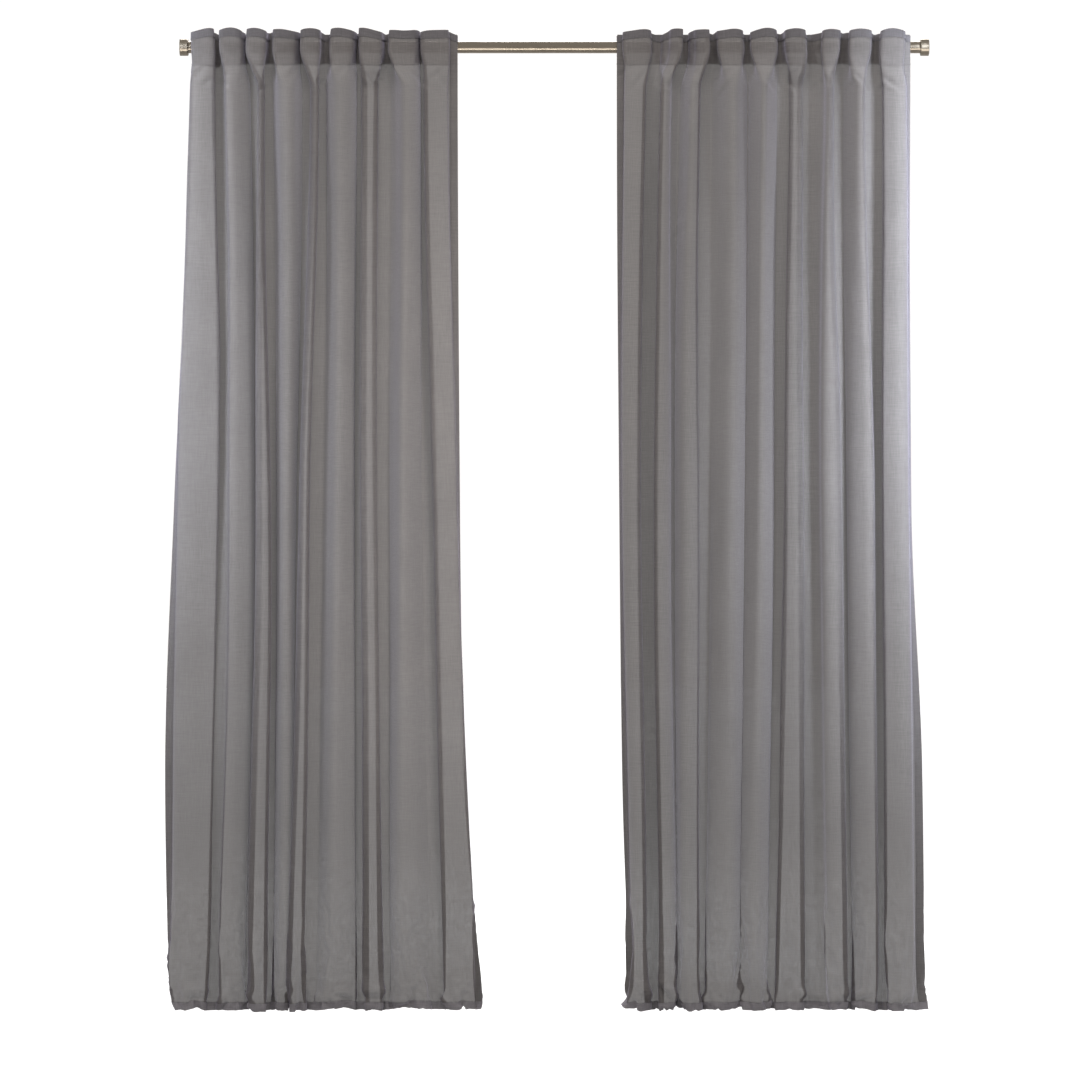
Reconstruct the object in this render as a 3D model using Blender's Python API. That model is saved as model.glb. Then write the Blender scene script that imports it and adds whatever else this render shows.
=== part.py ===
"""A pair of back-tab window curtains hanging from a capped rod on two wall brackets.

Frame: metres, +Z up. The origin lies on the wall plane at the height of the rod's axis, midway
along the rod. +X runs along the rod to the right, +Y into the wall, and the room is on the -Y side.
Each curtain is cut into upright fold solids, one on each hanging tab, so that it can be gathered
and spread along the rod. Run it with: blender --background --python part.py
"""
import math

import bpy
import bmesh
from mathutils import Matrix, Vector

FIT = 0.0003  # clearance that neighbouring pieces keep
DRILL_OVERRUN = 0.001  # how far a cutter runs past the face it starts from
SHARP_EDGE = math.radians(35)

# Sides of a turned solid, by its size
BIG_ROUND = 48
MIDDLE_ROUND = 40
SMALL_ROUND = 24

# Rod and its end caps
ROD_LENGTH = 1.6114
ROD_DIAMETER = 0.0254
ROD_WALL = 0.0012
ROD_PROJECTION = 0.089  # wall to the rod's axis
CAP_DIAMETER = 0.0368
CAP_LENGTH = 0.0183
CAP_END_WALL = 0.0050
CAP_BEVEL = 0.0009
GRUB_DIAMETER = 0.0030
GRUB_RECESS = 0.0006  # how far its end lies inside the cap

# Wall brackets
BRACKET_TO_TAB = 0.0015  # running room between a cradle and the outermost tab
PLATE_WIDTH = 0.026
PLATE_HEIGHT = 0.070
PLATE_THICKNESS = 0.004
PLATE_CORNER = 0.005
BOSS_DIAMETER = 0.018
BOSS_LENGTH = 0.008
ARM_DIAMETER = 0.012
ARM_WALL = 0.002
STEM_LENGTH = 0.020
CRADLE_WIDTH = 0.009
CRADLE_WALL = 0.003
CRADLE_LIP = 0.006  # height of the cradle's sides above the rod's axis
THUMB_DIAMETER = 0.004
THUMB_HEAD_DIAMETER = 0.0085
THUMB_HEAD_LENGTH = 0.004
WALL_SCREW_DIAMETER = 0.004
WALL_SCREW_HEAD = 0.008
WALL_SCREW_HEAD_FIT = 0.0009  # room around the head in its countersink
WALL_SCREW_LENGTH = 0.032
WALL_SCREW_SPACING = 0.048

# Cloth
TAB_COUNT = 10
TAB_WIDTH = 0.020
TAB_THICKNESS = 0.001
TAB_TOP = 0.026  # upper and lower ends of a tab, and of its loop, from the rod's axis
TAB_LOOP_TOP = 0.018
TAB_LOOP_FOOT = -0.026
TAB_FOOT = -0.036
CLOTH = 0.0012
TAB_INSET = 0.001  # side edge of a curtain to the side of its outermost tab
HEADING_ABOVE_ROD = 0.041
HEADING_DEPTH = 0.075
DROP = 2.131  # top edge to hem
FOLD_DEPTH_TOP = 0.040
FOLD_DEPTH_HEM = 0.070
FOLD_FLAT = 0.016  # width of a fold solid's flat back, at its tab
FOLD_ROOT = 0.009  # how far a fold stands nearly straight out before it slants
FOLD_ROOT_SLANT = 0.0015
FOLD_LAP = 0.002  # how far a fold's lip reaches past the next tab's middle
MITRE_LIMIT = 0.5  # least cosine used where a strip of cloth bends

# Each curtain as it was hung: lengths along the rod from the end cap inwards, and the shares of
# the gathered width that lie between neighbouring tabs, from the second tab to the leading one
CURTAINS = {
    "left": {
        "side": -1,
        "cap_gap": 0.0097,
        "top_width": 0.574,
        "hem_out": 0.052,
        "hem_in": 0.059,
        "bracket_gap": 0.005,
        "gathers": (0.90, 0.87, 1.04, 0.94, 1.09, 1.01, 1.20, 1.16),
    },
    "right": {
        "side": 1,
        "cap_gap": 0.0227,
        "top_width": 0.635,
        "hem_out": 0.037,
        "hem_in": -0.028,
        "bracket_gap": 0.0365,
        "gathers": (1.00, 0.95, 1.01, 1.09, 1.05, 0.79, 0.88, 1.21),
    },
}

# Worked out from the sizes above
ROD_RADIUS = ROD_DIAMETER / 2
ROD_Y = -ROD_PROJECTION
CAP_INNER_X = ROD_LENGTH / 2 + FIT + CAP_END_WALL - CAP_LENGTH
WIDEST_CAP_GAP = max(curtain["cap_gap"] for curtain in CURTAINS.values())
OUTER_TAB_INNER_X = CAP_INNER_X - WIDEST_CAP_GAP - TAB_INSET - TAB_WIDTH
BRACKET_X = OUTER_TAB_INNER_X - BRACKET_TO_TAB - CRADLE_WIDTH / 2
TAB_FRONT = ROD_RADIUS + 2 * FIT + TAB_THICKNESS  # rod's axis to the face of a tab's ends
CLOTH_MIDDLE = TAB_FRONT + FIT + CLOTH / 2
HEADING_TOP_Z = HEADING_ABOVE_ROD
HEADING_SEAM_Z = HEADING_ABOVE_ROD - HEADING_DEPTH
HEM_Z = HEADING_ABOVE_ROD - DROP
CRADLE_INNER = ROD_RADIUS + FIT
CRADLE_OUTER = CRADLE_INNER + CRADLE_WALL
ARM_FRONT_Y = ROD_Y + CRADLE_OUTER + FIT


def clear_scene():
    """Empties the file, so that only this model is in it."""
    for item in list(bpy.data.objects):
        bpy.data.objects.remove(item, do_unlink=True)


# ---- materials ----


def principled(name, color, roughness, metallic):
    """A plain Principled material."""
    material = bpy.data.materials.new(name)
    material.use_nodes = True
    shader = material.node_tree.nodes["Principled BSDF"]
    shader.inputs["Base Color"].default_value = (*color, 1.0)
    shader.inputs["Roughness"].default_value = roughness
    shader.inputs["Metallic"].default_value = metallic
    return material


def rod_metal():
    """Satin champagne-bronze finish of the rod and caps."""
    return principled("rod_metal", (0.22, 0.185, 0.145), 0.34, 1.0)


def bracket_metal():
    """The same finish on the brackets, a little duller."""
    return principled("bracket_metal", (0.19, 0.16, 0.125), 0.42, 1.0)


def screw_steel():
    """Zinc-plated screws."""
    return principled("screw_steel", (0.45, 0.45, 0.44), 0.35, 1.0)


def curtain_cloth():
    """Grey slub voile."""
    return principled("curtain_cloth", (0.16, 0.15, 0.155), 0.9, 0.0)


def tab_cloth():
    """The same voile, doubled into a tab."""
    return principled("tab_cloth", (0.12, 0.113, 0.117), 0.9, 0.0)


# ---- mesh helpers ----


def add_object(name, bm, material, location, parent=None, smooth=True):
    """Makes a named object of a bmesh, with its normals pointing out."""
    bmesh.ops.recalc_face_normals(bm, faces=bm.faces)
    mesh = bpy.data.meshes.new(name)
    bm.to_mesh(mesh)
    bm.free()
    if smooth:
        mesh.shade_smooth()
        mesh.set_sharp_from_angle(angle=SHARP_EDGE)
    mesh.materials.append(material)
    item = bpy.data.objects.new(name, mesh)
    bpy.context.scene.collection.objects.link(item)
    item.parent = parent
    item.location = Vector(location) - (parent.location if parent else Vector())
    return item


def add_carrier(name, location):
    """An empty that carries the pieces of one moving body."""
    empty = bpy.data.objects.new(name, None)
    empty.empty_display_size = 0.02
    empty.location = location
    bpy.context.scene.collection.objects.link(empty)
    return empty


def turned(profile, axis, sides=BIG_ROUND, looped=False):
    """A solid turned about the local X, Y or Z axis from (radius, distance along the axis) points."""
    bm = bmesh.new()
    turn = {"X": Matrix.Rotation(math.pi / 2, 3, "Y"), "Y": Matrix.Rotation(-math.pi / 2, 3, "X")}
    matrix = turn.get(axis, Matrix.Identity(3))
    rings = []
    for radius, along in profile:
        if radius == 0:
            rings.append([bm.verts.new(matrix @ Vector((0, 0, along)))])
            continue
        ring = []
        for i in range(sides):
            angle = math.tau * i / sides
            point = Vector((radius * math.cos(angle), radius * math.sin(angle), along))
            ring.append(bm.verts.new(matrix @ point))
        rings.append(ring)
    pairs = list(zip(rings, rings[1:]))
    if looped:
        pairs.append((rings[-1], rings[0]))
    for a, b in pairs:
        for i in range(sides):
            j = (i + 1) % sides
            corners = [a[i % len(a)], a[j % len(a)], b[j % len(b)], b[i % len(b)]]
            distinct = []
            for corner in corners:
                if corner not in distinct:
                    distinct.append(corner)
            bm.faces.new(distinct)
    return bm


def lofted(sections):
    """A closed solid through outlines of equal point count, each a list of 3-D points whose first
    half runs one way along a strip and whose second half runs back beside it."""
    bm = bmesh.new()
    loops = []
    for section in sections:
        loops.append([bm.verts.new(point) for point in section])
    count = len(loops[0])
    for loop in (loops[0], loops[-1]):
        for i in range(count // 2 - 1):
            bm.faces.new((loop[i], loop[i + 1], loop[count - 2 - i], loop[count - 1 - i]))
    for a, b in zip(loops, loops[1:]):
        for i in range(count):
            j = (i + 1) % count
            bm.faces.new((a[i], a[j], b[j], b[i]))
    bmesh.ops.triangulate(bm, faces=bm.faces)
    return bm


def ribbon(path, thickness):
    """The outline of a strip of constant thickness along a 2-D path."""
    front, back = [], []
    for i, point in enumerate(path):
        before = (point - path[i - 1]).normalized() if i else None
        after = (path[i + 1] - point).normalized() if i < len(path) - 1 else None
        before = before or after
        after = after or before
        along = (before + after).normalized()
        reach = thickness / 2 / max(along.dot(after), MITRE_LIMIT)
        normal = Vector((-along.y, along.x)) * reach
        front.append(point + normal)
        back.append(point - normal)
    return front + back[::-1]


def cut(item, cutter):
    """Cuts one object with another, which is only a guide."""
    cutter.hide_render = True
    cutter.display_type = "WIRE"
    boolean = item.modifiers.new("cut_" + cutter.name, "BOOLEAN")
    boolean.operation = "DIFFERENCE"
    boolean.solver = "EXACT"
    boolean.object = cutter


def joined(item, addition):
    """Welds a guide's shape onto an object."""
    addition.hide_render = True
    addition.display_type = "WIRE"
    boolean = item.modifiers.new("weld_" + addition.name, "BOOLEAN")
    boolean.operation = "UNION"
    boolean.solver = "EXACT"
    boolean.object = addition


# ---- rod and caps ----


def make_rod(carrier, material):
    """One straight tube, open at both ends."""
    inner = ROD_RADIUS - ROD_WALL
    half = ROD_LENGTH / 2
    profile = [(ROD_RADIUS, -half), (ROD_RADIUS, half), (inner, half), (inner, -half)]
    bm = turned(profile, "X", looped=True)
    return add_object("rod_tube", bm, material, (0, ROD_Y, 0), carrier)


def make_end_cap(name, side, material, screw_material):
    """A plain drum that slips over the tube's end and is held by a grub screw from below."""
    bore = ROD_RADIUS + FIT
    radius = CAP_DIAMETER / 2
    bore_floor = CAP_LENGTH - CAP_END_WALL
    profile = [
        (0, bore_floor),
        (bore, bore_floor),
        (bore, 0),
        (radius - CAP_BEVEL, 0),
        (radius, CAP_BEVEL),
        (radius, CAP_LENGTH - CAP_BEVEL),
        (radius - CAP_BEVEL, CAP_LENGTH),
        (0, CAP_LENGTH),
    ]
    if side < 0:
        profile = [(r, -along) for r, along in profile]
    face = Vector((side * CAP_INNER_X, ROD_Y, 0))
    carrier = add_carrier(name + "_carrier", face)
    cap = add_object(name + "_end_cap", turned(profile, "X"), material, face, carrier)

    screw_at = face + Vector((side * bore_floor / 2, 0, 0))
    hole = GRUB_DIAMETER / 2 + FIT
    start, stop = -radius - DRILL_OVERRUN, -bore / 2
    drill = turned([(0, start), (hole, start), (hole, stop), (0, stop)], "Z", SMALL_ROUND)
    cut(cap, add_object(name + "_cap_drill", drill, material, screw_at, carrier))
    tip, end = -(bore + FIT), -(radius - GRUB_RECESS)
    grub = turned([(0, end), (GRUB_DIAMETER / 2, end), (GRUB_DIAMETER / 2, tip), (0, tip)], "Z", SMALL_ROUND)
    add_object(name + "_cap_screw", grub, screw_material, screw_at, carrier)


# ---- brackets ----


def rounded_outline(width, height, corner, steps=6):
    """A rectangle with round corners, as (x, z) points."""
    points = []
    for quarter in range(4):
        cx = (width / 2 - corner) * (1 if quarter in (0, 3) else -1)
        cz = (height / 2 - corner) * (1 if quarter in (0, 1) else -1)
        for step in range(steps + 1):
            angle = math.pi / 2 * (quarter + step / steps)
            points.append((cx + corner * math.cos(angle), cz + corner * math.sin(angle)))
    return points


def make_plate(name, x, material):
    """The plate on the wall, with a socket for the arm and two countersunk holes."""
    outline = rounded_outline(PLATE_WIDTH, PLATE_HEIGHT, PLATE_CORNER)
    sections = [[Vector((px, y, pz)) for px, pz in outline] for y in (0, -PLATE_THICKNESS)]
    plate = add_object(name + "_wall_plate", lofted(sections), material, (x, 0, 0))
    overlap = PLATE_THICKNESS / 2
    socket = ARM_DIAMETER / 2 + FIT
    outer = BOSS_DIAMETER / 2
    foot, mouth = -PLATE_THICKNESS + overlap, -PLATE_THICKNESS - BOSS_LENGTH
    collar = turned([(outer, foot), (outer, mouth), (socket, mouth), (socket, foot)], "Y", MIDDLE_ROUND, True)
    joined(plate, add_object(name + "_collar", collar, material, (x, 0, 0)))
    hole = WALL_SCREW_DIAMETER / 2 + FIT
    head = WALL_SCREW_HEAD / 2 + WALL_SCREW_HEAD_FIT
    sink = head - hole
    front = -PLATE_THICKNESS
    start, stop = DRILL_OVERRUN, front - DRILL_OVERRUN
    profile = [(0, start), (hole, start), (hole, front + sink), (head, front), (head, stop), (0, stop)]
    for end in (-1, 1):
        drill = turned(profile, "Y", SMALL_ROUND)
        place = (x, 0, end * WALL_SCREW_SPACING / 2)
        cut(plate, add_object(f"{name}_drill_{'upper' if end > 0 else 'lower'}", drill, material, place))


def make_wall_screw(name, x, z, material):
    """A countersunk wood screw with a pointed tip that goes into the wall."""
    shank = WALL_SCREW_DIAMETER / 2
    head = WALL_SCREW_HEAD / 2
    front = -PLATE_THICKNESS + FIT
    profile = [
        (0, front),
        (head, front),
        (shank, front + head - shank),
        (shank, WALL_SCREW_LENGTH - 3 * shank - PLATE_THICKNESS),
        (0, WALL_SCREW_LENGTH - PLATE_THICKNESS),
    ]
    add_object(name, turned(profile, "Y", SMALL_ROUND), material, (x, 0, z))


def make_arm(name, x, material):
    """The tube between the plate's socket and the cradle."""
    back = -PLATE_THICKNESS - FIT
    outer, inner = ARM_DIAMETER / 2, ARM_DIAMETER / 2 - ARM_WALL
    profile = [(outer, back), (outer, ARM_FRONT_Y), (inner, ARM_FRONT_Y), (inner, back)]
    bm = turned(profile, "Y", MIDDLE_ROUND, True)
    add_object(name + "_arm", bm, material, (x, 0, 0))


def cradle_outline(steps=20):
    """The cradle's upright U as (y, z) points about the rod's axis."""
    points = []
    for step in range(steps + 1):
        angle = math.pi + math.pi * step / steps
        points.append((CRADLE_OUTER * math.cos(angle), CRADLE_OUTER * math.sin(angle)))
    points.append((CRADLE_OUTER, CRADLE_LIP))
    points.append((CRADLE_INNER, CRADLE_LIP))
    for step in range(steps + 1):
        angle = math.tau - math.pi * step / steps
        points.append((CRADLE_INNER * math.cos(angle), CRADLE_INNER * math.sin(angle)))
    points.append((-CRADLE_INNER, CRADLE_LIP))
    points.append((-CRADLE_OUTER, CRADLE_LIP))
    return points


def make_cradle(name, x, material):
    """An open U that holds the rod, with a stem in the arm and a tapped front wall."""
    outline = cradle_outline()
    half = CRADLE_WIDTH / 2
    sections = [[Vector((px, y, z)) for y, z in outline] for px in (-half, half)]
    cradle = add_object(name + "_cradle", lofted(sections), material, (x, ROD_Y, 0))
    stem = ARM_DIAMETER / 2 - ARM_WALL - FIT
    start = CRADLE_OUTER - CRADLE_WALL / 2
    end = CRADLE_OUTER + STEM_LENGTH
    peg = turned([(0, start), (stem, start), (stem, end), (0, end)], "Y", MIDDLE_ROUND)
    joined(cradle, add_object(name + "_stem", peg, material, (x, ROD_Y, 0)))
    hole = THUMB_DIAMETER / 2 + FIT
    start, stop = -CRADLE_OUTER - DRILL_OVERRUN, -ROD_RADIUS / 2
    drill = turned([(0, start), (hole, start), (hole, stop), (0, stop)], "Y", SMALL_ROUND)
    cut(cradle, add_object(name + "_tap", drill, material, (x, ROD_Y, 0)))


def make_thumb_screw(name, x, material):
    """The screw through the cradle's front wall that stops the rod from turning or lifting."""
    tip = -(ROD_RADIUS + FIT)
    shank, head = THUMB_DIAMETER / 2, THUMB_HEAD_DIAMETER / 2
    seat = -(CRADLE_OUTER + FIT)
    front = seat - THUMB_HEAD_LENGTH
    profile = [(0, tip), (shank, tip), (shank, seat), (head, seat), (head, front), (0, front)]
    axis_point = (x, ROD_Y, 0)
    carrier = add_carrier(name + "_screw_carrier", axis_point)
    add_object(name + "_thumb_screw", turned(profile, "Y", SMALL_ROUND), material, axis_point, carrier)


def make_bracket(name, side, metal, steel):
    """One wall bracket and its fasteners."""
    x = side * BRACKET_X
    bracket = name + "_bracket"
    make_plate(bracket, x, metal)
    make_arm(bracket, x, metal)
    make_cradle(bracket, x, metal)
    make_thumb_screw(bracket, x, metal)
    for word, end in (("upper", 1), ("lower", -1)):
        make_wall_screw(f"{name}_{word}_wall_screw", x, end * WALL_SCREW_SPACING / 2, steel)


# ---- curtains ----


def edges(curtain):
    """The curtain's outer and leading edges at the heading and at the hem, as distances from x = 0."""
    outer = CAP_INNER_X - curtain["cap_gap"]
    lead = outer - curtain["top_width"]
    return outer, lead, outer + curtain["hem_out"], lead - curtain["hem_in"]


def tab_places(curtain):
    """Distances of the tabs' middles from x = 0, from the outer tab to the leading one."""
    outer, lead, _, _ = edges(curtain)
    first = outer - TAB_INSET - TAB_WIDTH / 2
    second = BRACKET_X - CRADLE_WIDTH / 2 - curtain["bracket_gap"] - TAB_WIDTH / 2
    last = lead + TAB_INSET + TAB_WIDTH / 2
    share = (second - last) / sum(curtain["gathers"])
    places = [first, second]
    for gather in curtain["gathers"]:
        places.append(places[-1] - gather * share)
    return places


def at_hem(curtain, place):
    """Where the cloth that hangs at a place on the rod reaches the hem."""
    outer, lead, hem_outer, hem_lead = edges(curtain)
    return hem_lead + (place - lead) / (outer - lead) * (hem_outer - hem_lead)


def tab_path():
    """The tab's middle line as (y, z) points: sewn to the cloth above and below, over and behind the rod."""
    radius = ROD_RADIUS + FIT + TAB_THICKNESS / 2
    front = -(TAB_FRONT - TAB_THICKNESS / 2)
    upper = Vector((front, TAB_LOOP_TOP))
    lower = Vector((front, TAB_LOOP_FOOT))
    start = math.atan2(upper.y, upper.x) - math.acos(radius / upper.length)
    end = math.atan2(lower.y, lower.x) + math.acos(radius / lower.length)
    steps = 12
    path = [Vector((front, TAB_TOP)), upper]
    for step in range(steps + 1):
        angle = start + (end - start) * step / steps
        path.append(Vector((radius * math.cos(angle), radius * math.sin(angle))))
    path.append(lower)
    path.append(Vector((front, TAB_FOOT)))
    return path


def make_tab(name, x, material, carrier):
    """One back tab, looped over the rod."""
    outline = ribbon(tab_path(), TAB_THICKNESS)
    half = TAB_WIDTH / 2
    sections = [[Vector((px, y, z)) for y, z in outline] for px in (-half, half)]
    add_object(name, lofted(sections), material, (x, ROD_Y, 0), carrier)


def fold_section(side, place, inward, outward, lip, depth, z, origin):
    """One level of a fold solid: flat behind its tab, then slanting forward to its lip."""
    flat = -CLOTH_MIDDLE
    path = [Vector((-inward, flat)), Vector((outward, flat))]
    if depth:
        path.append(Vector((outward + FOLD_ROOT_SLANT, flat - FOLD_ROOT)))
        path.append(Vector((lip, flat - depth)))
    points = []
    for point in ribbon(path, CLOTH):
        points.append(Vector((side * (place + point.x) - origin, point.y, z)))
    return points


def make_fold(name, curtain, places, index, material, carrier):
    """The cloth from one tab out to the next, from the heading to the hem. The outer tab has only
    the side hem, and the leading fold reaches in to the curtain's leading edge."""
    side = curtain["side"]
    place = places[index]
    below = at_hem(curtain, place)
    outer, lead, hem_outer, hem_lead = edges(curtain)
    half = FOLD_FLAT / 2
    spread = (hem_outer - hem_lead) / (outer - lead)
    levels = []
    for z, middle, scale, depth in (
        (HEADING_TOP_Z, place, 1.0, FOLD_DEPTH_TOP),
        (HEADING_SEAM_Z, place, 1.0, FOLD_DEPTH_TOP),
        (HEM_Z, below, spread, FOLD_DEPTH_HEM),
    ):
        inward = outward = half * scale
        lip = 0
        if index == 0:
            outward = (outer - place) * scale
            depth = 0
        else:
            lip = (places[index - 1] - place) * scale + FOLD_LAP
        if index == TAB_COUNT - 1:
            inward = (place - lead) * scale
        levels.append(fold_section(side, middle, inward, outward, lip, depth, z, side * place))
    add_object(name, lofted(levels), material, (side * place, ROD_Y, 0), carrier, smooth=False)


def make_curtain(name, curtain, cloth, tabs, rod_carrier):
    """All the tabs and folds of one curtain. The outer tab stays between the bracket and the cap."""
    places = tab_places(curtain)
    for index, place in enumerate(places):
        if index == 0:
            carrier = rod_carrier
            fold = name + "_side_hem"
        else:
            role = "lead" if index == TAB_COUNT - 1 else f"glide_{index}"
            carrier = add_carrier(f"{name}_{role}_carrier", (curtain["side"] * place, ROD_Y, 0))
            fold = f"{name}_fold_{index}"
        make_tab(f"{name}_tab_{index}", curtain["side"] * place, tabs, carrier)
        make_fold(fold, curtain, places, index, cloth, carrier)


def main():
    clear_scene()
    metal, dull_metal, steel = rod_metal(), bracket_metal(), screw_steel()
    cloth, tabs = curtain_cloth(), tab_cloth()
    rod_carrier = add_carrier("rod_carrier", (0, ROD_Y, 0))
    make_rod(rod_carrier, metal)
    for name, curtain in CURTAINS.items():
        make_end_cap(name, curtain["side"], metal, steel)
        make_bracket(name, curtain["side"], dull_metal, steel)
        make_curtain(name, curtain, cloth, tabs, rod_carrier)


main()
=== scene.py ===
"""Looks of a pair of sheer back-tab curtains on a capped rod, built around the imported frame.

Metres, +Z up, the room on the -Y side. Each curtain is one sheet of voile: its folds are laid out
row by row from the heading down, a short cloth simulation lets its lowest part go so that the hem
settles on the floor, and its hems, facing, band and stitches follow the settled sheet.
"""
import collections
import math

import bpy
import numpy as np
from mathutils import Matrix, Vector


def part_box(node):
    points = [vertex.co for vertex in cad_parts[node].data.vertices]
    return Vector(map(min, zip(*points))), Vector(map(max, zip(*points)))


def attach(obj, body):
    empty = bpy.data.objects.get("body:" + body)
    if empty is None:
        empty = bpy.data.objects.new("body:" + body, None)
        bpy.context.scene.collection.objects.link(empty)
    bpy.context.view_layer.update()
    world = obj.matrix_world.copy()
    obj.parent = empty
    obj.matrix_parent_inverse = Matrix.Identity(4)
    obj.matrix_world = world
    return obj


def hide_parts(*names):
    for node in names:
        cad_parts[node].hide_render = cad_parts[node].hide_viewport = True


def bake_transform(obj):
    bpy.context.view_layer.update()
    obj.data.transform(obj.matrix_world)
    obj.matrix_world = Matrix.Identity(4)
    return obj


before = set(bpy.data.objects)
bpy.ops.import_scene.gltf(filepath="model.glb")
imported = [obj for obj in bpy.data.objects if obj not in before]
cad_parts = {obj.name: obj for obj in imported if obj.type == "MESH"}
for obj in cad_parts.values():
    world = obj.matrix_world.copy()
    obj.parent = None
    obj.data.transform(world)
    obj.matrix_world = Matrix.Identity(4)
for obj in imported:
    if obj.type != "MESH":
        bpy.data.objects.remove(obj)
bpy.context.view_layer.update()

# ---- sizes read from the frame ----

ROD_LOW, ROD_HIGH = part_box("rod_tube")
ROD_RADIUS = (ROD_HIGH.z - ROD_LOW.z) / 2
ROD_Y = (ROD_LOW.y + ROD_HIGH.y) / 2
ROD_Z = (ROD_LOW.z + ROD_HIGH.z) / 2
HEM_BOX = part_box("left_side_hem")
TOP_Z = HEM_BOX[1].z
FLOOR_Z = HEM_BOX[0].z
CLOTH_Y = (HEM_BOX[0].y + HEM_BOX[1].y) / 2  # plane where the cloth lies on its tabs
TAB_LOW, TAB_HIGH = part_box("left_tab_0")
TAB_WIDTH = TAB_HIGH.x - TAB_LOW.x
TAB_COUNT = 10
FOLDS = TAB_COUNT - 1

# ---- the cloth ----

FLAT_WIDTH = 1.32
HEADING = 0.075  # depth of the stiffened heading
TOP_BAND = 0.015
SIDE_HEM = 0.017
BOTTOM_HEM = 0.018
SPARE_LENGTH = 0.036  # how much longer than the drop the sheet is, so that its hem breaks on the floor
LOOSE_LENGTH = 0.38  # above the hem, where the sheet is let go to settle
LAYER_GAP = 0.0009  # between two layers of folded cloth
COLUMNS_PER_FOLD = 16
ROWS = 168
PINCH_DEPTH = 0.130  # where the folds are drawn in below the heading
MID_DEPTH = 1.02  # halfway down, where their middle places are given
LOW_DEPTH = 1.60
HANG_BACK = 0.026  # how far the cloth between the folds swings back towards the wall
EDGE_SPARE = 0.03  # cloth outside the first and last folds' shares
DEEPEST_FOLD = 0.095
HEM_CLEARANCE = 0.004  # between the hem and the floor as the cloth is laid out
TOP_EDGE_Z = ROD_Z + 0.0335  # the heading's top edge at the front of its folds
RIDGE_WANDER = 0.0018  # how far a ridge strays sideways on its way down
SWING_WANDER = 0.003  # how far the cloth between the folds strays forward and back
TOP_WAVES = ((0.0017, 0.117), (0.0012, 0.071))  # height and length of the waves of the top edge
CREASES_PER_FOLD = 2
CREASE_WIDTH, CREASE_DEPTH = 0.0045, 0.0035
BANK_AWAY, BANK_WIDTH, BANK_HEIGHT = 0.008, 0.006, 0.0022  # the cloth pushed up beside a crease
PUCKERS = 10  # along each hem
PUCKER_MARGIN = 0.10  # from the free edges, where the hem lies flat

# ---- the simulation that settles the hem ----

SIMULATION_FRAMES = 30
LANDING_DEPTH = 0.004  # of the hidden floor under the hem's lowest edge
CLOTH_THICKNESS = 0.003  # kept clear by the simulation

# ---- stitches and tabs ----

STITCH_PITCH = 0.0032
STITCH_LENGTH = 0.0022
THREAD_RADIUS = 0.0003
SEAM_SHIFT = 0.003  # slides the weave of a sewn layer, so that it doesn't match the sheet's
TAB_THICKNESS = 0.0009
TAB_UPPER_SEAM = 0.018  # above the rod's axis
TAB_LOWER_SEAM = -0.026

# ---- the studio ----

FLOOR_HALF = 22.0
FLOOR_DROP = 0.006  # below the lowest CAD point
CAMERA_DISTANCE = 10.0
CAMERA_LENS = 153.9
CAMERA_X, CAMERA_Z = -0.031, -1.067

# ---- the folds ----

# Each fold from the outer edge inwards. Places are distances from the rod's middle: in the heading,
# where the fold is drawn in below it, halfway down, and at the hem. A turn is how far a side curls
# in under the ridge, or slopes away from it when negative: outer side first, then the leading one.
# A slant is how much farther forward the outer side of the ridge stands than its middle.
Fold = collections.namedtuple("Fold", "places widths top_turns turns slants cloth")
LEFT_FOLDS = (
    Fold(
        (0.757, 0.758, 0.7645, 0.787), (0.048, 0.054, 0.086, 0.078),
        (0.002, 0.006), (-0.010, 0.010), (0.002, 0.004), 1.08,
    ),
    Fold(
        (0.696, 0.692, 0.680, 0.703), (0.048, 0.036, 0.050, 0.052),
        (0.006, -0.006), (0.001, -0.014), (0.010, 0.006), 0.86,
    ),
    Fold(
        (0.643, 0.6315, 0.630, 0.642), (0.041, 0.015, 0.034, 0.046),
        (0.006, -0.001), (0.012, 0.010), (0.004, 0.003), 1.20,
    ),
    Fold(
        (0.581, 0.577, 0.577, 0.586), (0.050, 0.034, 0.026, 0.030),
        (0.006, -0.008), (-0.010, -0.010), (0.012, 0.000), 0.72,
    ),
    Fold(
        (0.526, 0.5165, 0.538, 0.562), (0.041, 0.020, 0.025, 0.041),
        (0.007, -0.001), (0.010, 0.010), (0.005, -0.002), 1.18,
    ),
    Fold(
        (0.458, 0.457, 0.4625, 0.473), (0.050, 0.038, 0.030, 0.048),
        (0.004, -0.004), (-0.016, -0.018), (0.007, 0.004), 0.78,
    ),
    Fold(
        (0.396, 0.3985, 0.3995, 0.392), (0.048, 0.038, 0.038, 0.044),
        (0.005, -0.002), (0.014, 0.012), (0.005, 0.002), 1.18,
    ),
    Fold(
        (0.3265, 0.313, 0.321, 0.313), (0.060, 0.034, 0.030, 0.056),
        (0.004, -0.010), (-0.014, -0.014), (0.012, 0.005), 0.84,
    ),
    Fold(
        (0.257, 0.256, 0.2385, 0.205), (0.060, 0.053, 0.053, 0.074),
        (0.006, 0.002), (0.010, 0.001), (0.002, 0.002), 1.10,
    ),
)
LEFT_EDGES = {"outer": (0.8242, 0.8437, 0.835), "lead": (0.2045, 0.195, 0.1505)}
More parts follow.
